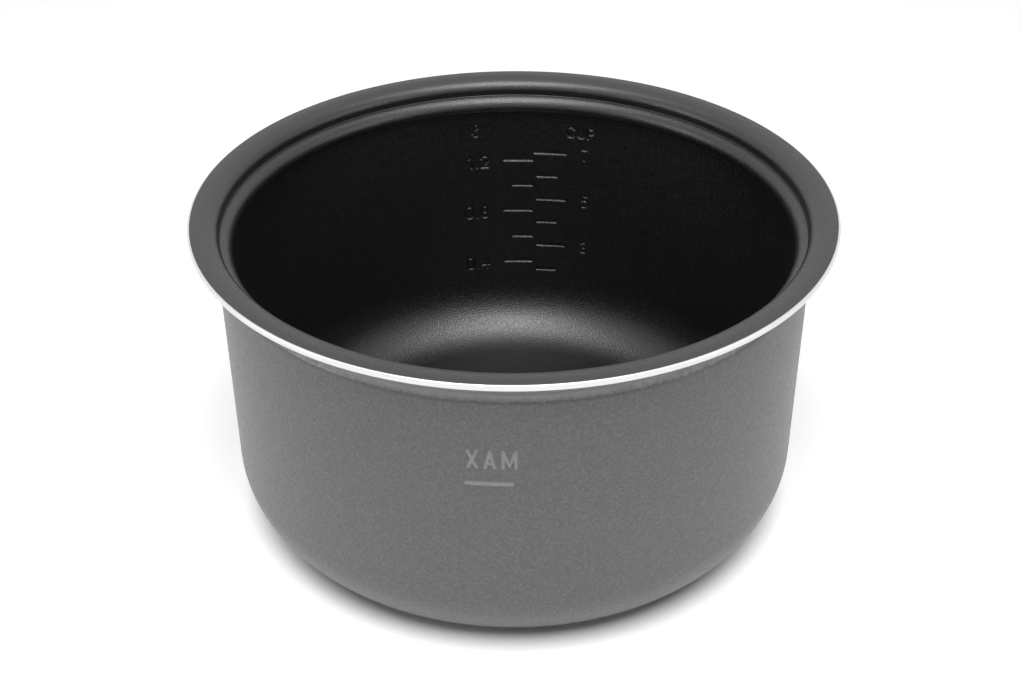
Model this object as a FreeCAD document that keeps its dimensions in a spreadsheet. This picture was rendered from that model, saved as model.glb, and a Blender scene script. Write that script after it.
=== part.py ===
import FreeCAD, Part
import math
import os
import sys

import Sketcher

# Inner cooking pot of a rice cooker, in millimetres.
# The origin is the centre of the base, on the surface the pot stands on, with +Z up.
# One drawn aluminium sheet carries a non-stick lining on its inside and a heat-proof coat on its outside.

# Driving dimensions: alias, value, meaning.
SIZES = [
    ("pot_height", 113.7, "base to the bare top of the flange"),
    ("body_diameter", 199.2, "outside of the bare straight wall"),
    ("sheet", 2.0, "thickness of the drawn sheet"),
    ("corner_radius", 25.0, "outside radius of the bottom corner"),
    ("bead_depth", 3.2, "how far the rolled bead stands in from the inner wall"),
    ("bead_radius", 4.0, "inside surface radius of the bead's upper half"),
    ("bead_return", 2.6, "inside surface radius of the bead's lower half"),
    ("wall_fillet", 0.3, "inside radius where the bead runs into the wall"),
    ("neck_fillet", 0.3, "inside radius where the bead runs into the neck"),
    ("neck_step", 0.6, "how far the neck stands out from the inner wall"),
    ("neck_length", 1.6, "straight height of the neck"),
    ("lip_radius", 3.4, "inside radius where the neck turns out into the flange"),
    ("shoulder_radius", 14.0, "gentle inside radius between the lip and the flat of the flange"),
    ("lip_reach", 7.4, "how far the lip and its shoulder reach out from the neck"),
    ("flange_flat", 2.4, "flat of the flange, from the shoulder to the rim"),
    ("edge_break", 0.5, "rounding of the turned rim edge"),
    ("lining", 0.1, "thickness of the non-stick lining"),
    ("outer_coat", 0.1, "thickness of the outer coat"),
    ("bare_rim", 0.7, "bare ring between the coats and the rim"),
    ("bare_foot", 0.6, "height at which the outer coat stops above the base"),
]

SHEET_NAME = "Sizes"
START = 1
END = 2
CENTRE = 3
ORIGIN = (-1, START)

doc = FreeCAD.newDocument("InnerPot")
table = doc.addObject("Spreadsheet::Sheet", SHEET_NAME)
for row, (alias, value, meaning) in enumerate(SIZES, start=1):
    table.set(f"A{row}", str(value))
    table.setAlias(f"A{row}", alias)
    table.set(f"B{row}", meaning)
doc.recompute()


def size(alias):
    return float(table.get(alias))


def cell(alias):
    return f"{SHEET_NAME}.{alias}"


class Layer:
    """One surface of the pot, a distance outward from the bare inside of the sheet.

    Every surface of the pot is the same run of lines and arcs, set out along its normal. Each length is
    kept as the formula that binds it to the sheet of sizes, beside the value that it has now.
    """

    def __init__(self, aliases, sign=1.0):
        self.offset = sign * sum(size(alias) for alias in aliases)
        mark = "-" if sign < 0 else "+"
        self.formula = "".join(f" {mark} {cell(alias)}" for alias in aliases)
        self.inverse = "".join(f" {'+' if sign < 0 else '-'} {cell(alias)}" for alias in aliases)

    def grown(self, value, formula):
        return value + self.offset, formula + self.formula

    def shrunk(self, value, formula):
        return value - self.offset, formula + self.inverse

    def wall(self):
        inner = size("body_diameter") / 2 - size("sheet")
        return self.grown(inner, f"{cell('body_diameter')} / 2 - {cell('sheet')}")

    def neck(self):
        value, formula = self.wall()
        return value + size("neck_step"), f"{formula} + {cell('neck_step')}"

    def floor(self):
        return self.shrunk(size("sheet"), cell("sheet"))

    def top(self):
        return self.shrunk(size("pot_height"), cell("pot_height"))

    def corner(self):
        return self.grown(size("corner_radius") - size("sheet"), f"{cell('corner_radius')} - {cell('sheet')}")

    def bead(self):
        return self.shrunk(size("bead_radius"), cell("bead_radius"))

    def bead_back(self):
        return self.shrunk(size("bead_return"), cell("bead_return"))

    def lip(self):
        return self.shrunk(size("lip_radius"), cell("lip_radius"))

    def shoulder(self):
        return self.shrunk(size("shoulder_radius"), cell("shoulder_radius"))

    def fillet(self, alias):
        return self.grown(size(alias), cell(alias))


INSIDE = Layer([])
OUTSIDE = Layer(["sheet"])
LINED = Layer(["lining"], sign=-1.0)
COATED = Layer(["sheet", "outer_coat"])


def bead_centre_radius():
    value = INSIDE.wall()[0] - size("bead_depth") + size("bead_radius")
    return value, f"{INSIDE.wall()[1]} - {cell('bead_depth')} + {cell('bead_radius')}"


def shoulder_centre_radius():
    return INSIDE.neck()[0] + size("lip_reach"), f"{INSIDE.neck()[1]} + {cell('lip_reach')}"


def rim_radius():
    value, formula = shoulder_centre_radius()
    return value + size("flange_flat"), f"{formula} + {cell('flange_flat')}"


def coat_edge_radius():
    value, formula = rim_radius()
    return value - size("bare_rim"), f"{formula} - {cell('bare_rim')}"


def lip_height():
    """Height of the lip's centre. The lip hangs from the shoulder by a tangent, as the bead from the neck."""
    gap = size("shoulder_radius") - size("lip_radius")
    across = size("lip_reach") - size("lip_radius")
    return size("pot_height") - size("shoulder_radius") + math.sqrt(gap**2 - across**2)


def neck_foot():
    """Height of the lower end of the straight neck."""
    return lip_height() - size("neck_length")


def bead_centre_height():
    """The bead hangs from the neck by its fillet, so its height follows from the two tangent arcs."""
    fillet = size("neck_fillet")
    across = bead_centre_radius()[0] - INSIDE.neck()[0] + fillet
    return neck_foot() - math.sqrt((size("bead_radius") + fillet) ** 2 - across**2)


def wall_top():
    """Height of the upper end of the straight wall, under the bead."""
    fillet = size("wall_fillet")
    across = size("bead_return") - size("bead_depth") + fillet
    return bead_centre_height() - math.sqrt((size("bead_return") + fillet) ** 2 - across**2)


def flat(x, y):
    return FreeCAD.Vector(x, y, 0)


def arc(centre, radius, first, last):
    """Arc of a circle, anticlockwise between two angles in radians."""
    circle = Part.Circle(flat(*centre), flat(0, 0) + FreeCAD.Vector(0, 0, 1), radius)
    return Part.ArcOfCircle(circle, first, last)


def new_body(label):
    body = doc.addObject("PartDesign::Body", label)
    body.Label = label
    return body


def section_sketch(body, name):
    """Sketch on the body's XZ plane: across is the radius, up is the height."""
    sketch = body.newObject("Sketcher::SketchObject", name)
    plane = next(item for item in body.Origin.OriginFeatures if item.Role == "XZ_Plane")
    sketch.AttachmentSupport = [(plane, "")]
    sketch.MapMode = "FlatFace"
    return sketch


def bind(sketch, name, constraint, formula):
    index = sketch.addConstraint(constraint)
    sketch.renameConstraint(index, name)
    sketch.setExpression(f"Constraints.{name}", formula)


def distance_x(sketch, name, geo, point, length):
    value, formula = length
    bind(sketch, name, Sketcher.Constraint("DistanceX", *ORIGIN, geo, point, value), formula)


def distance_y(sketch, name, geo, point, length):
    value, formula = length
    bind(sketch, name, Sketcher.Constraint("DistanceY", *ORIGIN, geo, point, value), formula)


def radius(sketch, name, geo, length):
    value, formula = length
    bind(sketch, name, Sketcher.Constraint("Radius", geo, value), formula)


def join_tangent(sketch, first, first_end, second, second_end):
    sketch.addConstraint(Sketcher.Constraint("Tangent", first, first_end, second, second_end))


def join(sketch, first, first_end, second, second_end):
    sketch.addConstraint(Sketcher.Constraint("Coincident", first, first_end, second, second_end))


def draw_surface(sketch, tag, layer, flange_end, from_axis):
    """Draw one surface of the pot from its bottom to the end of its flange and constrain it.

    Returns the geometry index of each stretch. The floor is left out where a coat stops on the corner.
    """
    wall = layer.wall()[0]
    neck = layer.neck()[0]
    top = layer.top()[0]
    corner = layer.corner()[0]
    bead = layer.bead()[0]
    bead_back = layer.bead_back()[0]
    lip = layer.lip()[0]
    shoulder = layer.shoulder()[0]
    wall_fillet = layer.fillet("wall_fillet")[0]
    neck_fillet = layer.fillet("neck_fillet")[0]
    corner_centre = (wall - corner, size("corner_radius"))
    bead_centre = (bead_centre_radius()[0], bead_centre_height())
    back_centre = (bead_centre[0] - bead + bead_back, bead_centre[1])
    lower_centre = (wall - wall_fillet, wall_top())
    upper_centre = (neck - neck_fillet, neck_foot())
    lip_centre = (neck + lip, lip_height())
    shoulder_centre = (shoulder_centre_radius()[0], top - shoulder)
    below = math.atan2(lower_centre[1] - back_centre[1], lower_centre[0] - back_centre[0])
    above = math.atan2(upper_centre[1] - bead_centre[1], upper_centre[0] - bead_centre[0])
    lean = math.atan2(lip_centre[1] - shoulder_centre[1], lip_centre[0] - shoulder_centre[0])
    right, up, left, down = 0.0, math.pi / 2, math.pi, 1.5 * math.pi
    stop = down
    if not from_axis:
        stop = down + math.acos(1 - size("bare_foot") / size("corner_radius"))

    stretch = {}
    if from_axis:
        floor = Part.LineSegment(flat(0, layer.floor()[0]), flat(corner_centre[0], layer.floor()[0]))
        stretch["floor"] = sketch.addGeometry(floor, False)
    pieces = [
        ("corner", arc(corner_centre, corner, stop, 2 * math.pi)),
        ("wall", Part.LineSegment(flat(wall, corner_centre[1]), flat(wall, lower_centre[1]))),
        ("lower", arc(lower_centre, wall_fillet, right, math.pi + below)),
        ("back", arc(back_centre, bead_back, left, 2 * math.pi + below)),
        ("bead", arc(bead_centre, bead, above, left)),
        ("upper", arc(upper_centre, neck_fillet, above - math.pi, right)),
        ("neck", Part.LineSegment(flat(neck, upper_centre[1]), flat(neck, lip_centre[1]))),
        ("lip", arc(lip_centre, lip, lean, left)),
        ("shoulder", arc(shoulder_centre, shoulder, up, lean)),
        ("flange", Part.LineSegment(flat(shoulder_centre[0], top), flat(flange_end, top))),
    ]
    for name, geometry in pieces:
        stretch[name] = sketch.addGeometry(geometry, False)

    if from_axis:
        sketch.addConstraint(Sketcher.Constraint("Horizontal", stretch["floor"]))
        sketch.addConstraint(Sketcher.Constraint("Vertical", *ORIGIN, stretch["floor"], START))
        join_tangent(sketch, stretch["floor"], END, stretch["corner"], START)
        distance_y(sketch, f"{tag}_floor", stretch["floor"], START, layer.floor())
    else:
        height = (size("corner_radius"), cell("corner_radius"))
        distance_y(sketch, f"{tag}_corner_height", stretch["corner"], CENTRE, height)
    join_tangent(sketch, stretch["corner"], END, stretch["wall"], START)
    join_tangent(sketch, stretch["wall"], END, stretch["lower"], START)
    join_tangent(sketch, stretch["lower"], END, stretch["back"], END)
    join_tangent(sketch, stretch["back"], START, stretch["bead"], END)
    sketch.addConstraint(Sketcher.Constraint("Horizontal", stretch["bead"], CENTRE, stretch["bead"], END))
    join_tangent(sketch, stretch["bead"], START, stretch["upper"], START)
    join_tangent(sketch, stretch["upper"], END, stretch["neck"], START)
    join_tangent(sketch, stretch["neck"], END, stretch["lip"], END)
    join_tangent(sketch, stretch["lip"], START, stretch["shoulder"], END)
    join_tangent(sketch, stretch["shoulder"], START, stretch["flange"], START)
    sketch.addConstraint(Sketcher.Constraint("Vertical", stretch["wall"]))
    sketch.addConstraint(Sketcher.Constraint("Vertical", stretch["neck"]))
    sketch.addConstraint(Sketcher.Constraint("Horizontal", stretch["flange"]))
    radius(sketch, f"{tag}_corner", stretch["corner"], layer.corner())
    radius(sketch, f"{tag}_lower", stretch["lower"], layer.fillet("wall_fillet"))
    radius(sketch, f"{tag}_bead", stretch["bead"], layer.bead())
    radius(sketch, f"{tag}_back", stretch["back"], layer.bead_back())
    radius(sketch, f"{tag}_upper", stretch["upper"], layer.fillet("neck_fillet"))
    radius(sketch, f"{tag}_lip", stretch["lip"], layer.lip())
    radius(sketch, f"{tag}_shoulder", stretch["shoulder"], layer.shoulder())
    distance_x(sketch, f"{tag}_wall", stretch["wall"], START, layer.wall())
    distance_x(sketch, f"{tag}_neck", stretch["neck"], START, layer.neck())
    distance_x(sketch, f"{tag}_bead_centre", stretch["bead"], CENTRE, bead_centre_radius())
    distance_x(sketch, f"{tag}_shoulder_centre", stretch["shoulder"], CENTRE, shoulder_centre_radius())
    distance_y(sketch, f"{tag}_flange", stretch["flange"], START, layer.top())
    neck_rise = Sketcher.Constraint(
        "DistanceY", stretch["neck"], START, stretch["neck"], END, size("neck_length")
    )
    bind(sketch, f"{tag}_neck_length", neck_rise, cell("neck_length"))
    return stretch


def close_on_axis(sketch, lower, upper):
    """Short line on the axis of the pot between two floors."""
    start = sketch.getPoint(lower["floor"], START)
    end = sketch.getPoint(upper["floor"], START)
    line = sketch.addGeometry(Part.LineSegment(start, end), False)
    join(sketch, line, START, lower["floor"], START)
    join(sketch, line, END, upper["floor"], START)


def close_coat_edge(sketch, tag, inner, outer):
    """Short upright line where a coat stops on the flange, just inside the bare rim."""
    start = sketch.getPoint(inner["flange"], END)
    end = sketch.getPoint(outer["flange"], END)
    line = sketch.addGeometry(Part.LineSegment(start, end), False)
    join(sketch, line, START, inner["flange"], END)
    join(sketch, line, END, outer["flange"], END)
    sketch.addConstraint(Sketcher.Constraint("Vertical", line))
    distance_x(sketch, f"{tag}_edge", line, START, coat_edge_radius())


def revolve(body, sketch):
    turned = body.newObject("PartDesign::Revolution", f"{body.Name}_turned")
    turned.Profile = sketch
    turned.ReferenceAxis = (sketch, ["V_Axis"])
    turned.Angle = 360.0
    sketch.Visibility = False
    body.Placement = FreeCAD.Placement()


def pressed_shell():
    """The drawn sheet: two parallel surfaces joined by the turned rim edge, which is rounded over."""
    body = new_body("pressed_shell")
    sketch = section_sketch(body, "shell_section")
    rim = rim_radius()[0]
    edge = size("edge_break")
    top = INSIDE.top()[0]
    under = OUTSIDE.top()[0]
    inner = draw_surface(sketch, "inside", INSIDE, rim - edge, from_axis=True)
    outer = draw_surface(sketch, "outside", OUTSIDE, rim - edge, from_axis=True)
    upper_round = sketch.addGeometry(arc((rim - edge, top - edge), edge, 0.0, math.pi / 2), False)
    face = sketch.addGeometry(Part.LineSegment(flat(rim, top - edge), flat(rim, under + edge)), False)
    lower_round = sketch.addGeometry(arc((rim - edge, under + edge), edge, -math.pi / 2, 0.0), False)
    join_tangent(sketch, inner["flange"], END, upper_round, END)
    join_tangent(sketch, upper_round, START, face, START)
    join_tangent(sketch, face, END, lower_round, END)
    join_tangent(sketch, lower_round, START, outer["flange"], END)
    sketch.addConstraint(Sketcher.Constraint("Vertical", face))
    rounding = (edge, cell("edge_break"))
    radius(sketch, "upper_edge", upper_round, rounding)
    radius(sketch, "lower_edge", lower_round, rounding)
    distance_x(sketch, "rim", face, START, rim_radius())
    close_on_axis(sketch, outer, inner)
    revolve(body, sketch)
    return body


def nonstick_lining():
    """Coat on the floor, the inner wall, the bead, the neck and the top of the flange."""
    body = new_body("nonstick_lining")
    sketch = section_sketch(body, "lining_section")
    edge = coat_edge_radius()[0]
    metal = draw_surface(sketch, "metal", INSIDE, edge, from_axis=True)
    skin = draw_surface(sketch, "skin", LINED, edge, from_axis=True)
    close_on_axis(sketch, metal, skin)
    close_coat_edge(sketch, "lining", metal, skin)
    revolve(body, sketch)
    return body


def outer_coat():
    """Coat on the underside of the flange, the neck, the groove, the wall and the bottom corner."""
    body = new_body("outer_coat")
    sketch = section_sketch(body, "coat_section")
    edge = coat_edge_radius()[0]
    metal = draw_surface(sketch, "metal", OUTSIDE, edge, from_axis=False)
    skin = draw_surface(sketch, "skin", COATED, edge, from_axis=False)
    close_coat_edge(sketch, "coat", metal, skin)
    start = sketch.getPoint(metal["corner"], START)
    end = sketch.getPoint(skin["corner"], START)
    foot = sketch.addGeometry(Part.LineSegment(start, end), False)
    sketch.addConstraint(Sketcher.Constraint("Perpendicular", foot, START, metal["corner"], START))
    join(sketch, foot, END, skin["corner"], START)
    distance_y(sketch, "foot", foot, START, (size("bare_foot"), cell("bare_foot")))
    revolve(body, sketch)
    return body


subparts = [pressed_shell(), nonstick_lining(), outer_coat()]
doc.recompute()

faults = [item.Label for item in doc.Objects if "Invalid" in item.State or "Error" in item.State]
for body in subparts:
    if body.Shape.isNull() or not body.Shape.isValid() or len(body.Shape.Solids) != 1:
        faults.append(f"{body.Label} has no single valid solid")
if faults:
    sys.exit("Not written: " + ", ".join(faults))

os.makedirs("parts", exist_ok=True)
for body in subparts:
    body.Shape.exportStep(f"parts/{body.Label}.step")
    box = body.Shape.optimalBoundingBox(False)
    print(f"{body.Label}: {body.Shape.Volume:.1f} mm3, {box.XLength:.2f} across, {box.ZLength:.2f} high")
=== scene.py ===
import math
from collections import namedtuple

import bpy
import numpy as np
from mathutils import Matrix, Vector


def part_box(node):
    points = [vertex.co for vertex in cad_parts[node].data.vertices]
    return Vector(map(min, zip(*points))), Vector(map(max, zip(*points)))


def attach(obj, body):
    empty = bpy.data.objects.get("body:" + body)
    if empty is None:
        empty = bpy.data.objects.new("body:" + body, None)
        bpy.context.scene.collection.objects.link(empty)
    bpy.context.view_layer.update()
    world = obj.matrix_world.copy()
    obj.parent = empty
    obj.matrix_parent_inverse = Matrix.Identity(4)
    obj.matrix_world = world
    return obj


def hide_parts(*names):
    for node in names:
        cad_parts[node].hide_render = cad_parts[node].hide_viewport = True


# Looks of a rice cooker's inner pot, in metres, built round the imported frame.

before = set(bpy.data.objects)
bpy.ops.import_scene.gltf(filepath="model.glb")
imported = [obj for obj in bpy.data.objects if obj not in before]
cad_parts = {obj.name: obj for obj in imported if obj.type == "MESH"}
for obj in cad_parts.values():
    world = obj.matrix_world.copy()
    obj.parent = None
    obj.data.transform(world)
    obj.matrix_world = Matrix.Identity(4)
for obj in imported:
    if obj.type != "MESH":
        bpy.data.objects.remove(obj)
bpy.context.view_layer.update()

MM = 0.001

# Sizes taken from the frame.
shell_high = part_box("pressed_shell")[1]
lining_low, lining_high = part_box("nonstick_lining")
RIM = shell_high.x
TOP = shell_high.z
SHEET = lining_low.z
LINING = lining_high.z - TOP
COAT_EDGE = lining_high.x

# Sizes of the drawn sheet's bare inside, which every other surface is set out from.
WALL = 97.6 * MM
CORNER = 23.0 * MM
BEAD_DEPTH = 3.2 * MM
BEAD = 4.0 * MM
BEAD_RETURN = 2.6 * MM
WALL_FILLET = 0.3 * MM
NECK_FILLET = 0.3 * MM
NECK_STEP = 0.6 * MM
NECK_LENGTH = 1.6 * MM
LIP = 3.4 * MM
SHOULDER = 14.0 * MM
LIP_REACH = 7.4 * MM

# Rounding of the turned rim edge, thickness of the outer coat, and height at which that coat stops.
EDGE_BREAK = 0.5 * MM
OUTER_COAT = 0.1 * MM
BARE_FOOT = 0.6 * MM

# Facets round the pot, and parts that a facet under a mark is cut into each way.
ROUND = 240
FINE = 7

# Length of a facet on each straight stretch of the section.
FLOOR_PITCH = 12.0 * MM
WALL_PITCH = 2.6 * MM
NECK_PITCH = 1.0 * MM
FLANGE_PITCH = 1.5 * MM

# Degrees of an arc that a facet takes up.
CORNER_STEP = 4.0
BEAD_STEP = 7.0
LIP_STEP = 6.0
SHOULDER_STEP = 3.0
EDGE_STEP = 15.0
FILM_EDGE_PARTS = 4

# Section points nearer to the axis than this are on it.
ON_AXIS = 1e-9


# Profile of the pot.

# A point of the section: its radius and height, a direction there, and the side of the wall that it is on.
Row = namedtuple("Row", "r z across up side")


def bearing(start, end):
    """Direction from one point of the section to another, in degrees."""
    return math.degrees(math.atan2(end[1] - start[1], end[0] - start[0]))


def arc_rows(centre, radius, first, last, hollow, step=BEAD_STEP):
    """Points of an arc between two angles in degrees, each with the direction into the metal."""
    count = max(2, math.ceil(abs(last - first) / step))
    sign = 1.0 if hollow else -1.0
    rows = []
    for turn in np.linspace(first, last, count + 1):
        across, up = math.cos(math.radians(turn)), math.sin(math.radians(turn))
        r, z = centre[0] + radius * across, centre[1] + radius * up
        rows.append(Row(r, z, sign * across, sign * up, ""))
    return rows


def line_rows(start, end, into, pitch, side=""):
    """Points of a straight stretch, each with the direction into the metal."""
    count = max(1, math.ceil(math.dist(start, end) / pitch))
    rows = []
    for part in np.linspace(0.0, 1.0, count + 1):
        r = start[0] + part * (end[0] - start[0])
        z = start[1] + part * (end[1] - start[1])
        rows.append(Row(r, z, into[0], into[1], side))
    return rows


def inside_rows(from_axis, flange_end):
    """The bare inside of the sheet, from the axis or from the outer coat's foot to the flange's end."""
    neck = WALL + NECK_STEP

    # Centres of the arcs, each of which runs on smoothly from the one before.
    corner = (WALL - CORNER, SHEET + CORNER)
    shoulder = (neck + LIP_REACH, TOP - SHOULDER)
    lip = (neck + LIP, shoulder[1] + math.sqrt((SHOULDER - LIP) ** 2 - (LIP_REACH - LIP) ** 2))
    neck_foot = lip[1] - NECK_LENGTH
    upper_fillet = (neck - NECK_FILLET, neck_foot)
    bead_radius = WALL - BEAD_DEPTH + BEAD
    bead_drop = math.sqrt((BEAD + NECK_FILLET) ** 2 - (bead_radius - upper_fillet[0]) ** 2)
    bead = (bead_radius, neck_foot - bead_drop)
    bead_return = (WALL - BEAD_DEPTH + BEAD_RETURN, bead[1])
    fillet_radius = WALL - WALL_FILLET
    fillet_drop = math.sqrt((BEAD_RETURN + WALL_FILLET) ** 2 - (bead_return[0] - fillet_radius) ** 2)
    lower_fillet = (fillet_radius, bead_return[1] - fillet_drop)

    # Angles at which one arc gives way to the next.
    below = bearing(bead_return, lower_fillet) + 360.0
    above = bearing(bead, upper_fillet)
    lean = bearing(shoulder, lip)

    start = -90.0
    rows = []
    if from_axis:
        rows += line_rows((0.0, SHEET), (corner[0], SHEET), (0.0, -1.0), FLOOR_PITCH)
    else:
        start += math.degrees(math.acos(1.0 - BARE_FOOT / (CORNER + SHEET)))
    stretches = [
        arc_rows(corner, CORNER, start, 0.0, True, CORNER_STEP),
        line_rows((WALL, corner[1]), (WALL, lower_fillet[1]), (1.0, 0.0), WALL_PITCH, "wall"),
        arc_rows(lower_fillet, WALL_FILLET, 0.0, below - 180.0, True),
        arc_rows(bead_return, BEAD_RETURN, below, 180.0, False),
        arc_rows(bead, BEAD, 180.0, above, False),
        arc_rows(upper_fillet, NECK_FILLET, above - 180.0, 0.0, True),
        line_rows((neck, neck_foot), (neck, lip[1]), (1.0, 0.0), NECK_PITCH),
        arc_rows(lip, LIP, 180.0, lean, False, LIP_STEP),
        arc_rows(shoulder, SHOULDER, lean, 90.0, False, SHOULDER_STEP),
        line_rows((shoulder[0], TOP), (flange_end, TOP), (0.0, -1.0), FLANGE_PITCH),
    ]
    for stretch in stretches:
        # A stretch starts on the last point before it. That point becomes the wall's where the wall starts.
        rows += stretch[1:] if rows else stretch
        if stretch[-1].side:
            rows[-len(stretch)] = stretch[0]
    return rows


def set_out(rows, offset, facing, side):
    """A parallel surface. Facing is 1 where the surface looks out of the pot and -1 where it looks in."""
    made = []
    for row in rows:
        r, z = row.r + offset * row.across, row.z + offset * row.up
        made.append(Row(r, z, facing * row.across, facing * row.up, row.side and side))
    return made


def half_round(start, end, way):
    """Rounded film edge between two points, bulging the given way."""
    centre = ((start.r + end.r) / 2, (start.z + end.z) / 2)
    spoke = (start.r - centre[0], start.z - centre[1])
    radius = math.hypot(*spoke)
    rows = []
    for turn in np.linspace(0.0, math.pi, FILM_EDGE_PARTS + 1)[1:-1]:
        across = spoke[0] * math.cos(turn) + radius * way[0] * math.sin(turn)
        up = spoke[1] * math.cos(turn) + radius * way[1] * math.sin(turn)
        rows.append(Row(centre[0] + across, centre[1] + up, across / radius, up / radius, ""))
    return rows


# Pressed marks, drawn as strokes in a box one unit high, as they read from inside the pot.


def line(x0, y0, x1, y1):
    return ("line", x0, y0, x1, y1)


def bow(x, y, radius, first, last):
    """An arc about a centre, between two angles in degrees."""
    return ("bow", x, y, radius, first, last)


# Width and strokes of each letter.
GLYPHS = {
    "0": (0.6, [
        bow(0.3, 0.7, 0.3, 0, 180),
        line(0, 0.7, 0, 0.3),
        bow(0.3, 0.3, 0.3, 180, 360),
        line(0.6, 0.3, 0.6, 0.7),
    ]),
    "1": (0.3, [line(0.2, 0, 0.2, 1), line(0.2, 1, 0, 0.8)]),
    "2": (0.6, [bow(0.3, 0.7, 0.3, -35, 170), line(0.546, 0.528, 0, 0), line(0, 0, 0.6, 0)]),
    "3": (0.56, [bow(0.28, 0.76, 0.24, -90, 150), bow(0.28, 0.26, 0.26, -150, 90)]),
    "4": (0.62, [line(0.46, 0, 0.46, 1), line(0.46, 1, 0, 0.3), line(0, 0.3, 0.62, 0.3)]),
    "5": (0.58, [line(0.52, 1, 0.1, 1), line(0.1, 1, 0.06, 0.52), bow(0.25, 0.31, 0.31, -115, 130)]),
    "7": (0.56, [line(0, 1, 0.56, 1), line(0.56, 1, 0.18, 0)]),
    "8": (0.56, [bow(0.28, 0.76, 0.24, 0, 360), bow(0.28, 0.26, 0.26, 0, 360)]),
    ".": (0.06, [line(0.03, 0, 0.03, 0.03)]),
    "C": (0.62, [
        bow(0.32, 0.68, 0.32, 25, 180),
        line(0, 0.68, 0, 0.32),
        bow(0.32, 0.32, 0.32, 180, 335),
    ]),
    "U": (0.6, [line(0, 1, 0, 0.3), bow(0.3, 0.3, 0.3, 180, 360), line(0.6, 0.3, 0.6, 1)]),
    "P": (0.56, [
        line(0, 0, 0, 1),
        line(0, 1, 0.3, 1),
        bow(0.3, 0.74, 0.26, -90, 90),
        line(0.3, 0.48, 0, 0.48),
    ]),
    "l": (0.42, [
        line(0, 0.26, 0.4, 0.76),
        bow(0.28, 0.84, 0.14, -35, 190),
        line(0.14, 0.82, 0.12, 0.2),
        bow(0.26, 0.18, 0.14, 170, 320),
    ]),
    "M": (0.6, [
        line(0, 0, 0, 1),
        line(0, 1, 0.3, 0.12),
        line(0.3, 0.12, 0.6, 1),
        line(0.6, 1, 0.6, 0),
    ]),
    "A": (0.44, [line(0, 0, 0.22, 1), line(0.22, 1, 0.44, 0), line(0.06, 0.3, 0.38, 0.3)]),
    "X": (0.42, [line(0, 0, 0.42, 1), line(0, 1, 0.42, 0)]),
}

# Gap between letters, as a share of their height.
LETTER_GAP = 0.26


def written(text, left, foot, height, gap=LETTER_GAP):
    """Strokes of a word whose left end and foot are given, on the wall in metres."""
    strokes = []
    at = left
    for letter in text:
        width, parts = GLYPHS[letter]
        for kind, x, y, *rest in parts:
            if kind == "line":
                ends = (at + rest[0] * height, foot + rest[1] * height)
                strokes.append(line(at + x * height, foot + y * height, *ends))
            else:
                radius, first, last = rest
                strokes.append(bow(at + x * height, foot + y * height, radius * height, first, last))
        at += (width + gap) * height
    return strokes


# Heights of the water marks above the base in millimetres, by cups of rice and by litres.
CUP_MARKS = {2: 29.2, 3: 41.0, 4: 51.9, 5: 62.4, 6: 72.8, 7: 83.2}
LITRE_MARKS = {0.4: 33.0, 0.6: 45.0, 0.8: 57.1, 1.0: 68.6, 1.2: 79.9}
NAMED_LITRES = (0.4, 0.8, 1.2)

# Bars of the scale. Places along a wall are counted from its middle, to the right as seen from inside.
SCALE_MIDDLE = 8.6 * MM
MARK_GAP = 1.1 * MM
LONG_MARK = 11.2 * MM
SHORT_MARK = 7.7 * MM
CUP_MARK_RISE = 0.2 * MM

# Names on the scale: left end, drop of the foot below the mark, and height of the letters.
CUP_NAME_LEFT = 27.8 * MM
CUP_NAME_DROP = 2.0 * MM
CUP_NAME_HEIGHT = 4.6 * MM
LITRE_NAME_LEFT = -19.5 * MM
LITRE_NAME_LEFT_FROM_ONE = -17.9 * MM
LITRE_NAME_DROP = 3.1 * MM
LITRE_NAME_HEIGHT = 4.9 * MM
LITRE_NAME_GAP = 0.32

# Units over the scale.
LITRE_UNIT = {"text": "l", "left": -16.3 * MM, "foot": 90.5 * MM, "height": 5.2 * MM}
CUP_UNIT = {"text": "CUP", "left": 21.7 * MM, "foot": 90.9 * MM, "height": 4.3 * MM, "gap": 0.36}

# The fill mark on the wall across from the scale: a bar just below the level of six cups, under a word.
FILL_DROP = 0.3 * MM
FILL_HEIGHT = CUP_MARKS[6] * MM - FILL_DROP
FILL_LEFT = 0.8 * MM
FILL_RIGHT = 14.0 * MM
FILL_WORD = {"text": "MAX", "left": -0.3 * MM, "foot": 78.5 * MM, "height": 6.0 * MM, "gap": 0.42}


def scale_bars():
    """Bars of the measuring scale: litres to the left of its middle line, cups to the right."""
    bars = []
    for cups, height in CUP_MARKS.items():
        start = SCALE_MIDDLE + MARK_GAP
        end = start + (LONG_MARK if cups % 2 else SHORT_MARK)
        if cups == max(CUP_MARKS):
            start = SCALE_MIDDLE
        bars.append(line(start, height * MM, end, height * MM + CUP_MARK_RISE))
    for litres, height in LITRE_MARKS.items():
        start = SCALE_MIDDLE - MARK_GAP
        end = start - (LONG_MARK if litres in NAMED_LITRES else SHORT_MARK)
        bars.append(line(start, height * MM, end, height * MM))
    return bars


def scale_names():
    """Numbers and units of the measuring scale."""
    strokes = []
    for cups, height in CUP_MARKS.items():
        if cups % 2:
            foot = height * MM - CUP_NAME_DROP
            strokes += written(str(cups), CUP_NAME_LEFT, foot, CUP_NAME_HEIGHT)
    for litres in NAMED_LITRES:
        left = LITRE_NAME_LEFT_FROM_ONE if litres > 1 else LITRE_NAME_LEFT
        foot = LITRE_MARKS[litres] * MM - LITRE_NAME_DROP
        strokes += written(str(litres), left, foot, LITRE_NAME_HEIGHT, LITRE_NAME_GAP)
    return strokes + written(**LITRE_UNIT) + written(**CUP_UNIT)


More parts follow.
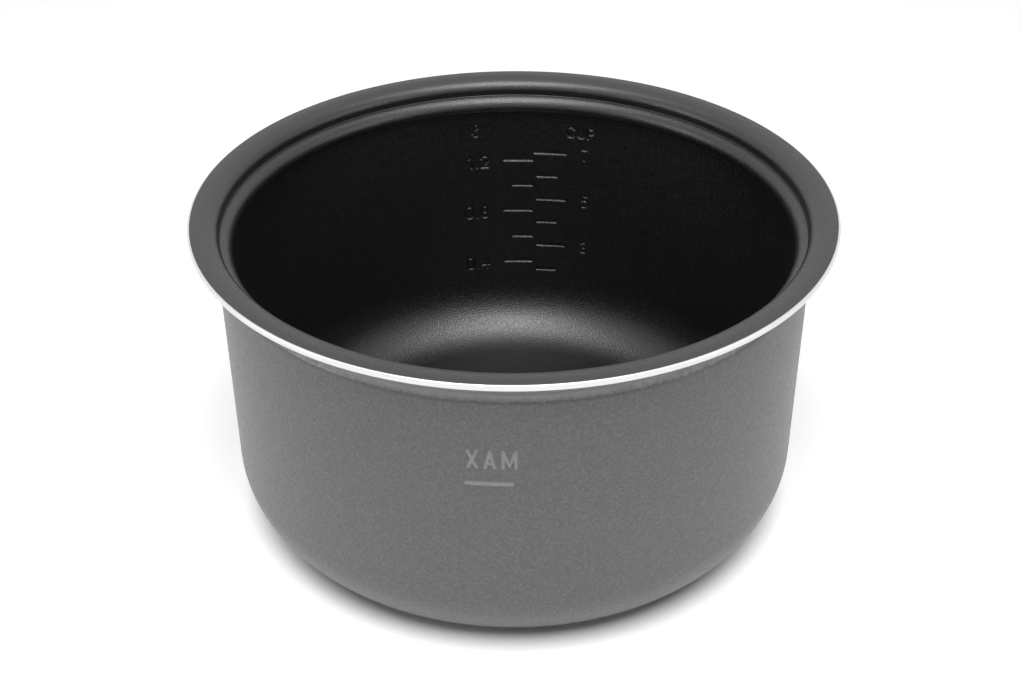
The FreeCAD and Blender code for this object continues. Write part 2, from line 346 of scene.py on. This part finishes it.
# Punches of the pressed marks: depth, then half width of the flat and width of the shoulder on each face.
BAR_PUNCH = {"depth": 0.48 * MM, "inside": (0.25 * MM, 0.80 * MM), "outside": (0.35 * MM, 0.90 * MM)}
LETTER_PUNCH = {"depth": 0.45 * MM, "inside": (0.10 * MM, 0.55 * MM), "outside": (0.20 * MM, 0.65 * MM)}
FILL_PUNCH = {"depth": 0.48 * MM, "inside": (0.25 * MM, 0.65 * MM), "outside": (0.35 * MM, 0.75 * MM)}
WORD_PUNCH = {"depth": 0.48 * MM, "inside": (0.10 * MM, 0.50 * MM), "outside": (0.20 * MM, 0.65 * MM)}

# Directions of the two marked walls, in degrees about +Z, and how far to each side their marks can lie.
SCALE_WALL = 90.0
FILL_WALL = 270.0
MARK_REACH = 40 * MM

# Each group of marks: its wall, its strokes and its punch.
MARKS = [
    (SCALE_WALL, scale_bars(), BAR_PUNCH),
    (SCALE_WALL, scale_names(), LETTER_PUNCH),
    (FILL_WALL, [line(FILL_LEFT, FILL_HEIGHT, FILL_RIGHT, FILL_HEIGHT)], FILL_PUNCH),
    (FILL_WALL, written(**FILL_WORD), WORD_PUNCH),
]

# Step over which the slope of a mark is taken.
NUDGE = 0.02 * MM


def stroke_distance(stroke, along, up):
    """Distance of points on the wall, given as equal arrays, from a stroke."""
    if stroke[0] == "line":
        x0, y0, x1, y1 = stroke[1:]
        dx, dy = x1 - x0, y1 - y0
        part = np.clip(((along - x0) * dx + (up - y0) * dy) / (dx * dx + dy * dy), 0.0, 1.0)
        return np.hypot(along - x0 - part * dx, up - y0 - part * dy)
    x, y, radius, first, last = stroke[1:]
    middle = math.radians((first + last) / 2)
    spread = math.radians((last - first) / 2)
    turn = np.arctan2(up - y, along - x) - middle
    turn = np.clip((turn + math.pi) % (2 * math.pi) - math.pi, -spread, spread) + middle
    return np.hypot(along - x - radius * np.cos(turn), up - y - radius * np.sin(turn))


def pressed(angle, up, side):
    """How far the wall is pushed out at each angle about +Z and height, given as equal arrays."""
    push = np.zeros(angle.shape)
    for wall, strokes, punch in MARKS:
        flat, shoulder = punch[side]
        along = ((math.radians(wall) - angle + math.pi) % (2 * math.pi) - math.pi) * WALL
        near = np.abs(along) < MARK_REACH
        gap = np.full(np.count_nonzero(near), MARK_REACH)
        for stroke in strokes:
            gap = np.minimum(gap, stroke_distance(stroke, along[near], up[near]))
        fall = np.clip((gap - flat) / shoulder, 0.0, 1.0)
        push[near] = np.maximum(push[near], punch["depth"] * (0.5 + 0.5 * np.cos(math.pi * fall)))
    return push


# Meshes.


def marked_cells(rows):
    """Facets of the straight wall that a mark reaches, as row and column numbers."""
    found = set()
    angle = 2 * math.pi * np.arange(ROUND * FINE) / (ROUND * FINE)
    for i in range(len(rows) - 1):
        side = rows[i].side
        if not side or rows[i + 1].side != side:
            continue
        heights = np.linspace(rows[i].z, rows[i + 1].z, FINE + 1)
        grid = np.meshgrid(angle, heights)
        reached = pressed(*grid, side).max(axis=0) > 0.0
        for j in np.flatnonzero(reached):
            found.add((i, j // FINE))
            found.add((i, (j - 1) // FINE % ROUND))
    return found


def shaped(points, side):
    """Places and normals of mesh points, given as radius, height, angle and the section's normal.

    With a side, the points lie on a straight wall and take the pressed marks on that side of the sheet.
    """
    r, z, angle, across, up = points.T
    out = np.stack([np.cos(angle), np.sin(angle), np.zeros_like(angle)], axis=1)
    normal = across[:, None] * out
    normal[:, 2] += up
    if side:
        turn = NUDGE / WALL
        r = r + pressed(angle, z, side)
        rise = (pressed(angle, z + NUDGE, side) - pressed(angle, z - NUDGE, side)) / (2 * NUDGE)
        lean = (pressed(angle + turn, z, side) - pressed(angle - turn, z, side)) / (2 * NUDGE)
        round_way = np.stack([-out[:, 1], out[:, 0], np.zeros_like(angle)], axis=1)
        normal -= (across * lean)[:, None] * round_way
        normal[:, 2] -= across * rise
    place = r[:, None] * out
    place[:, 2] = z
    return place, normal / np.linalg.norm(normal, axis=1)[:, None]


def turned_mesh(name, rows, closed):
    """A body of revolution with the pressed marks in its straight walls, as one closed mesh.

    Rows are the points of its section in order, and closed says that the last joins the first. Facets
    under a mark are cut finer, and their plain neighbours take the extra points on the edge that they
    share, so that the mesh has no open seam.
    """
    cut = marked_cells(rows)
    count = len(rows)
    points, sides, index, faces = [], [], {}, []

    def vertex(i, j):
        """Point at row i and column j, both counted in parts of a facet."""
        row, part = divmod(i, FINE)
        here = rows[row % count]
        if here.r < ON_AXIS:
            j = 0
        key = (i % (count * FINE), j % (ROUND * FINE))
        if key not in index:
            there = rows[(row + 1) % count]
            share = part / FINE
            r = here.r + share * (there.r - here.r)
            z = here.z + share * (there.z - here.z)
            index[key] = len(points)
            points.append((r, z, 2 * math.pi * key[1] / (ROUND * FINE), here.across, here.up))
            sides.append(here.side)
        return index[key]

    def edge(i0, j0, i1, j1, split):
        """Points from one corner of a facet up to the next, which is left out."""
        steps = FINE if split else 1
        rise, run = (i1 - i0) * FINE // steps, (j1 - j0) * FINE // steps
        return [vertex(i0 * FINE + rise * k, j0 * FINE + run * k) for k in range(steps)]

    for i in range(count if closed else count - 1):
        for j in range(ROUND):
            if (i, j) in cut:
                for a in range(i * FINE, (i + 1) * FINE):
                    for b in range(j * FINE, (j + 1) * FINE):
                        corners = ((a, b), (a, b + 1), (a + 1, b + 1), (a + 1, b))
                        faces.append(tuple(vertex(*corner) for corner in corners))
                continue
            ring = edge(i, j, i, j + 1, (i - 1, j) in cut)
            ring += edge(i, j + 1, i + 1, j + 1, (i, (j + 1) % ROUND) in cut)
            ring += edge(i + 1, j + 1, i + 1, j, (i + 1, j) in cut)
            ring += edge(i + 1, j, i, j, (i, (j - 1) % ROUND) in cut)
            faces.append(tuple(dict.fromkeys(ring)))

    points, sides = np.array(points), np.array(sides)
    places, normals = shaped(points, "")
    for side in ("inside", "outside"):
        on_wall = sides == side
        places[on_wall], normals[on_wall] = shaped(points[on_wall], side)

    mesh = bpy.data.meshes.new(name)
    mesh.from_pydata(places.tolist(), [], faces)
    sample = mesh.polygons[len(mesh.polygons) // 2]
    if sample.normal.dot(Vector(normals[sample.vertices[0]])) < 0.0:
        mesh.flip_normals()
    mesh.polygons.foreach_set("use_smooth", [True] * len(mesh.polygons))
    mesh.normals_split_custom_set_from_vertices(normals.tolist())
    return mesh


def shell_rows():
    """Both faces of the bare sheet, joined by the turned rim edge."""
    turn = RIM - EDGE_BREAK
    base = inside_rows(True, turn)
    inside = set_out(base, 0.0, -1, "inside")
    outside = set_out(base, SHEET, 1, "outside")
    upper = arc_rows((turn, TOP - EDGE_BREAK), EDGE_BREAK, 90.0, 0.0, True, EDGE_STEP)
    lower = arc_rows((turn, TOP - SHEET + EDGE_BREAK), EDGE_BREAK, 0.0, -90.0, True, EDGE_STEP)
    return inside + upper[1:] + lower[:-1] + outside[::-1]


def lining_rows():
    """Both faces of the lining, joined by its rounded edge on the flange."""
    base = inside_rows(True, COAT_EDGE - LINING / 2)
    skin = set_out(base, -LINING, -1, "inside")
    metal = set_out(base, 0.0, 1, "inside")
    return skin + half_round(skin[-1], metal[-1], (1.0, 0.0)) + metal[::-1]


def coat_rows():
    """Both faces of the outer coat, joined by its rounded edges under the flange and over the base."""
    base = inside_rows(False, COAT_EDGE - OUTER_COAT / 2)
    metal = set_out(base, SHEET, -1, "outside")
    skin = set_out(base, SHEET + OUTER_COAT, 1, "outside")
    flange_edge = half_round(metal[-1], skin[-1], (1.0, 0.0))
    foot_edge = half_round(skin[0], metal[0], (base[0].up, -base[0].across))
    return metal + flange_edge + skin[::-1] + foot_edge


# Shader parts.


def node_of(tree, kind, **values):
    """A new shader node with its settings and input values."""
    made = tree.nodes.new(kind)
    for name, value in values.items():
        if hasattr(made, name):
            setattr(made, name, value)
        else:
            made.inputs[name].default_value = value
    return made


def new_material(name):
    material = bpy.data.materials.new(name)
    material.use_nodes = True
    tree = material.node_tree
    return material, tree, tree.nodes["Principled BSDF"]


def grain(tree, place, size, detail=2.0):
    """Noise with features of about the given size in metres."""
    made = node_of(tree, "ShaderNodeTexNoise", Scale=1.0 / size, Detail=detail)
    tree.links.new(place.outputs["Object"], made.inputs["Vector"])
    return made.outputs["Fac"]


def flecks(tree, place, size):
    """A random value for each cell of about the given size."""
    made = node_of(tree, "ShaderNodeTexVoronoi", Scale=1.0 / size)
    tree.links.new(place.outputs["Object"], made.inputs["Vector"])
    return made.outputs["Color"]


def ramp(tree, value, stops):
    """Grey levels that follow a value through the given stops."""
    made = tree.nodes.new("ShaderNodeValToRGB")
    while len(made.color_ramp.elements) < len(stops):
        made.color_ramp.elements.new(0.5)
    for element, (at, level) in zip(made.color_ramp.elements, stops):
        element.position = at
        element.color = (level, level, level, 1.0)
    tree.links.new(value, made.inputs["Fac"])
    return made.outputs["Color"]


def joined(tree, operation, first, second):
    """Two values put through a maths node."""
    made = node_of(tree, "ShaderNodeMath", operation=operation)
    tree.links.new(first, made.inputs[0])
    tree.links.new(second, made.inputs[1])
    return made.outputs["Value"]


def off_axis(tree, place):
    """Distance from the pot's axis."""
    flat = node_of(tree, "ShaderNodeVectorMath", operation="MULTIPLY")
    flat.inputs[1].default_value = (1.0, 1.0, 0.0)
    tree.links.new(place.outputs["Object"], flat.inputs[0])
    radius = node_of(tree, "ShaderNodeVectorMath", operation="LENGTH")
    tree.links.new(flat.outputs["Vector"], radius.inputs[0])
    return radius.outputs["Value"]


def rising(tree, value, low, high):
    """0 up to the low value, 1 from the high value on. With the two swapped, the other way round."""
    made = tree.nodes.new("ShaderNodeMapRange")
    made.inputs["From Min"].default_value = low
    made.inputs["From Max"].default_value = high
    tree.links.new(value, made.inputs["Value"])
    return made.outputs["Result"]


def blend(tree, share, colour, level):
    """A colour that turns into a plain grey of the given level as the share goes from 0 to 1."""
    made = node_of(tree, "ShaderNodeMix", data_type="RGBA")
    made.inputs["B"].default_value = (level, level, level, 1.0)
    tree.links.new(share, made.inputs["Factor"])
    tree.links.new(colour, made.inputs["A"])
    return made.outputs["Result"]


def bumps(tree, height, depth, strength):
    """Normals of a surface that is roughened by the given height."""
    made = node_of(tree, "ShaderNodeBump", Strength=strength, Distance=depth)
    tree.links.new(height, made.inputs["Height"])
    return made.outputs["Normal"]


# Materials.

# Looks of the two coats: size and greys of the flecks, size and roughness of the worn spots, size, depth and
# strength of the orange peel, and shine.
LINING_LOOK = {
    "fleck": 0.7 * MM,
    "greys": [(0.0, 0.004), (0.75, 0.007), (1.0, 0.017)],
    "spot": 1.2 * MM,
    "roughness": [(0.3, 0.31), (0.7, 0.43)],
    "peel": 0.6 * MM,
    "peel_depth": 0.145 * MM,
    "peel_strength": 0.8,
    "shine": 0.7,
}
COAT_LOOK = {
    "fleck": 0.6 * MM,
    "greys": [(0.0, 0.082), (0.6, 0.110), (1.0, 0.156)],
    "spot": 1.4 * MM,
    "roughness": [(0.3, 0.36), (0.7, 0.48)],
    "peel": 1.0 * MM,
    "peel_depth": 0.12 * MM,
    "peel_strength": 0.55,
    "shine": 0.8,
}

# Painted highlight on the outer coat's raised marks: by distance from the axis, and only below the groove.
MARK_HIGHLIGHT_GREY = 0.29
MARK_HIGHLIGHT_FROM = WALL + SHEET + 0.2 * MM
MARK_HIGHLIGHT_FULL = WALL + SHEET + 0.6 * MM
MARK_HIGHLIGHT_BELOW = 97 * MM
NO_MARK_HIGHLIGHT_ABOVE = 99 * MM

# Painted light lifting the flange's shade on the coat: paler from these heights up, along a ragged edge.
GROOVE_LIGHT_GREY = 0.6
GROOVE_LIGHT_FROM = 102.3 * MM
GROOVE_LIGHT_FULL = 103.5 * MM
GROOVE_LIGHT_EDGE_RISE = 1.0 * MM
GROOVE_LIGHT_EDGE_GRAIN = 1.5 * MM
GROOVE_LIGHT_EDGE_DETAIL = 3.0

# Turned metal: spacing of the tool's rings, their greys, roughness, depth and strength.
RING_PITCH = 0.5 * MM
RING_GREYS = [(0.3, 0.68), (0.7, 0.78)]
RING_ROUGHNESS = [(0.3, 0.24), (0.7, 0.36)]
RING_DEPTH = 0.05 * MM
RING_STRENGTH = 0.3


def satin(tree, shader, place, look):
    """Roughness, orange peel and shine of a coat."""
    worn = ramp(tree, grain(tree, place, look["spot"]), look["roughness"])
    tree.links.new(worn, shader.inputs["Roughness"])
    peel = bumps(tree, grain(tree, place, look["peel"]), look["peel_depth"], look["peel_strength"])
    tree.links.new(peel, shader.inputs["Normal"])
    shader.inputs["Specular IOR Level"].default_value = look["shine"]


def lining_material():
    """Near black satin non-stick coat with a fine orange peel and paler flecks."""
    material, tree, shader = new_material("nonstick_lining")
    place = tree.nodes.new("ShaderNodeTexCoord")
    spots = ramp(tree, flecks(tree, place, LINING_LOOK["fleck"]), LINING_LOOK["greys"])
    tree.links.new(spots, shader.inputs["Base Color"])
    satin(tree, shader, place, LINING_LOOK)
    return material


def coat_material():
    """Satin dark grey heat-proof paint with paler flakes.

    It is painted paler where a mark stands out, a painted highlight, and in the groove and under the
    flange, a painted light that lifts the shade the flange casts there.
    """
    material, tree, shader = new_material("outer_coat")
    place = tree.nodes.new("ShaderNodeTexCoord")
    spots = ramp(tree, flecks(tree, place, COAT_LOOK["fleck"]), COAT_LOOK["greys"])
    apart = tree.nodes.new("ShaderNodeSeparateXYZ")
    tree.links.new(place.outputs["Object"], apart.inputs["Vector"])
    height = apart.outputs["Z"]
    raised = rising(tree, off_axis(tree, place), MARK_HIGHLIGHT_FROM, MARK_HIGHLIGHT_FULL)
    low = rising(tree, height, NO_MARK_HIGHLIGHT_ABOVE, MARK_HIGHLIGHT_BELOW)
    # Painted highlight: the coat is made paler where a mark stands out.
    paint_with_highlight = blend(tree, joined(tree, "MULTIPLY", raised, low), spots, MARK_HIGHLIGHT_GREY)
    # Painted light: the coat turns paler from the groove up, lifting the shade that the flange casts there.
    ragged = node_of(tree, "ShaderNodeMath", operation="MULTIPLY_ADD")
    ragged.inputs[1].default_value = GROOVE_LIGHT_EDGE_RISE
    tree.links.new(grain(tree, place, GROOVE_LIGHT_EDGE_GRAIN, GROOVE_LIGHT_EDGE_DETAIL), ragged.inputs[0])
    tree.links.new(height, ragged.inputs[2])
    groove_light = rising(tree, ragged.outputs["Value"], GROOVE_LIGHT_FROM, GROOVE_LIGHT_FULL)
    tree.links.new(blend(tree, groove_light, paint_with_highlight, GROOVE_LIGHT_GREY), shader.inputs["Base Color"])
    satin(tree, shader, place, COAT_LOOK)
    return material


def metal_material():
    """Bright turned aluminium, with fine rings left by the tool."""
    material, tree, shader = new_material("bare_aluminium")
    place = tree.nodes.new("ShaderNodeTexCoord")
    noise = node_of(tree, "ShaderNodeTexNoise", noise_dimensions="1D", Scale=1.0 / RING_PITCH, Detail=2.0)
    tree.links.new(off_axis(tree, place), noise.inputs["W"])
    rings = noise.outputs["Fac"]
    tree.links.new(ramp(tree, rings, RING_GREYS), shader.inputs["Base Color"])
    tree.links.new(ramp(tree, rings, RING_ROUGHNESS), shader.inputs["Roughness"])
    tree.links.new(bumps(tree, rings, RING_DEPTH, RING_STRENGTH), shader.inputs["Normal"])
    shader.inputs["Metallic"].default_value = 1.0
    return material


# Pieces.


def placed(name, data):
    """A new object in the scene."""
    made = bpy.data.objects.new(name, data)
    bpy.context.scene.collection.objects.link(made)
    return made


def piece(name, rows, closed, node, material):
    """A layer of the pot, which stands for a node of the frame."""
    made = placed(name, turned_mesh(name, rows, closed))
    made.data.materials.append(material)
    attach(made, "root")
    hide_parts(node)


piece("pressed_sheet", shell_rows(), False, "pressed_shell", metal_material())
piece("lining_coat", lining_rows(), False, "nonstick_lining", lining_material())
piece("outside_coat", coat_rows(), True, "outer_coat", coat_material())


# Stage, light and camera.

WHITE = (1.0, 1.0, 1.0, 1.0)
FLOOR_HALF = 3.0
FLOOR_COLOUR = (0.83, 0.83, 0.83, 1.0)
FLOOR_ROUGHNESS = 0.9

# Painted light on the floor: how much whiter it looks than its light makes it, by distance from the pot's
# axis.
# It is nil up to just under the pot's rounded foot and highest just outside the wall, so it trims the pot's
# shadow.
FLOOR_FADE = 0.4
FLOOR_PAINTED_LIGHT = [
    (0.0875, 0.0), (0.095, 0.40), (0.101, 0.58), (0.11, 0.50),
    (0.13, 0.42), (0.17, 0.37), (0.2, 0.34), (0.3, 0.40), (0.4, 0.48),
]

# Strength of the white surroundings as a light. They look fully white.
AMBIENT = 0.04

CAMERA_PLACE = Vector((0.0, -0.44721, 0.35375))
CAMERA_PITCH = 33.52
CAMERA_YAW = -0.19
CAMERA_ROLL = -0.36
LENS = 53.18
SENSOR = 36.0
CLIP_START = 0.01


def seen_or_mirrored(tree):
    """1 for rays from the camera and from mirrors and glass, otherwise 0."""
    path = tree.nodes.new("ShaderNodeLightPath")
    total = path.outputs["Is Camera Ray"]
    for name in ("Is Glossy Ray", "Is Transmission Ray"):
        total = joined(tree, "MAXIMUM", total, path.outputs[name])
    return total


def floor():
    corners = [(x * FLOOR_HALF, y * FLOOR_HALF, 0.0) for x, y in ((-1, -1), (1, -1), (1, 1), (-1, 1))]
    mesh = bpy.data.meshes.new("floor")
    mesh.from_pydata(corners, [], [(0, 1, 2, 3)])
    made = placed("floor", mesh)
    material, tree, shader = new_material("floor_white")
    shader.inputs["Base Color"].default_value = FLOOR_COLOUR
    shader.inputs["Roughness"].default_value = FLOOR_ROUGHNESS
    shader.inputs["Specular IOR Level"].default_value = 0.0
    place = tree.nodes.new("ShaderNodeTexCoord")
    away = rising(tree, off_axis(tree, place), 0.0, FLOOR_FADE)
    stops = [(at / FLOOR_FADE, level) for at, level in FLOOR_PAINTED_LIGHT]
    # Painted light: the floor is lifted by distance from the axis for camera and mirror rays.
    painted_light = joined(tree, "MULTIPLY", seen_or_mirrored(tree), ramp(tree, away, stops))
    shader.inputs["Emission Color"].default_value = WHITE
    tree.links.new(painted_light, shader.inputs["Emission Strength"])
    made.data.materials.append(material)


def surroundings():
    world = bpy.data.worlds.new("studio")
    bpy.context.scene.world = world
    world.use_nodes = True
    tree = world.node_tree
    back = tree.nodes["Background"]
    back.inputs["Color"].default_value = WHITE
    level = node_of(tree, "ShaderNodeMapRange")
    level.inputs["To Min"].default_value = AMBIENT
    level.inputs["To Max"].default_value = 1.0
    tree.links.new(seen_or_mirrored(tree), level.inputs["Value"])
    tree.links.new(level.outputs["Result"], back.inputs["Strength"])


def softbox(name, turn, rise, distance, width, height, power):
    """Area light aimed at the pot's mouth, turned about +Z from the camera's side and raised, in degrees."""
    aim = Vector((0.0, 0.0, TOP))
    turn, rise = math.radians(turn), math.radians(rise)
    level = math.cos(rise)
    way = Vector((math.sin(turn) * level, -math.cos(turn) * level, math.sin(rise)))
    data = bpy.data.lights.new(name, "AREA")
    data.shape = "RECTANGLE"
    data.size, data.size_y = width, height
    data.energy = power
    made = placed(name, data)
    made.location = aim + distance * way
    made.rotation_euler = way.to_track_quat("Z", "Y").to_euler()


def camera():
    pitch, yaw, roll = (math.radians(a) for a in (CAMERA_PITCH, CAMERA_YAW, CAMERA_ROLL))
    level = math.cos(pitch)
    ahead = Vector((math.sin(yaw) * level, math.cos(yaw) * level, -math.sin(pitch)))
    right = Vector((math.cos(yaw), -math.sin(yaw), 0.0))
    up = right.cross(ahead)
    across = math.cos(roll) * right + math.sin(roll) * up
    upward = -math.sin(roll) * right + math.cos(roll) * up
    data = bpy.data.cameras.new("camera")
    data.lens = LENS
    data.sensor_width = SENSOR
    data.sensor_fit = "HORIZONTAL"
    data.clip_start = CLIP_START
    made = placed("camera", data)
    turned = Matrix((across, upward, -ahead)).transposed().to_4x4()
    made.matrix_world = Matrix.Translation(CAMERA_PLACE) @ turned
    bpy.context.scene.camera = made


floor()
surroundings()
softbox("key", turn=3.0, rise=64.0, distance=1.15, width=0.6, height=0.7, power=10.0)
softbox("overhead", turn=0.0, rise=91.0, distance=1.0, width=0.5, height=0.5, power=4.4)
softbox("front_left", turn=-74.0, rise=16.0, distance=1.1, width=0.35, height=0.35, power=1.9)
softbox("front_right", turn=66.0, rise=16.0, distance=1.1, width=0.35, height=0.35, power=1.3)
camera()
bpy.context.scene.view_settings.view_transform = "Standard"
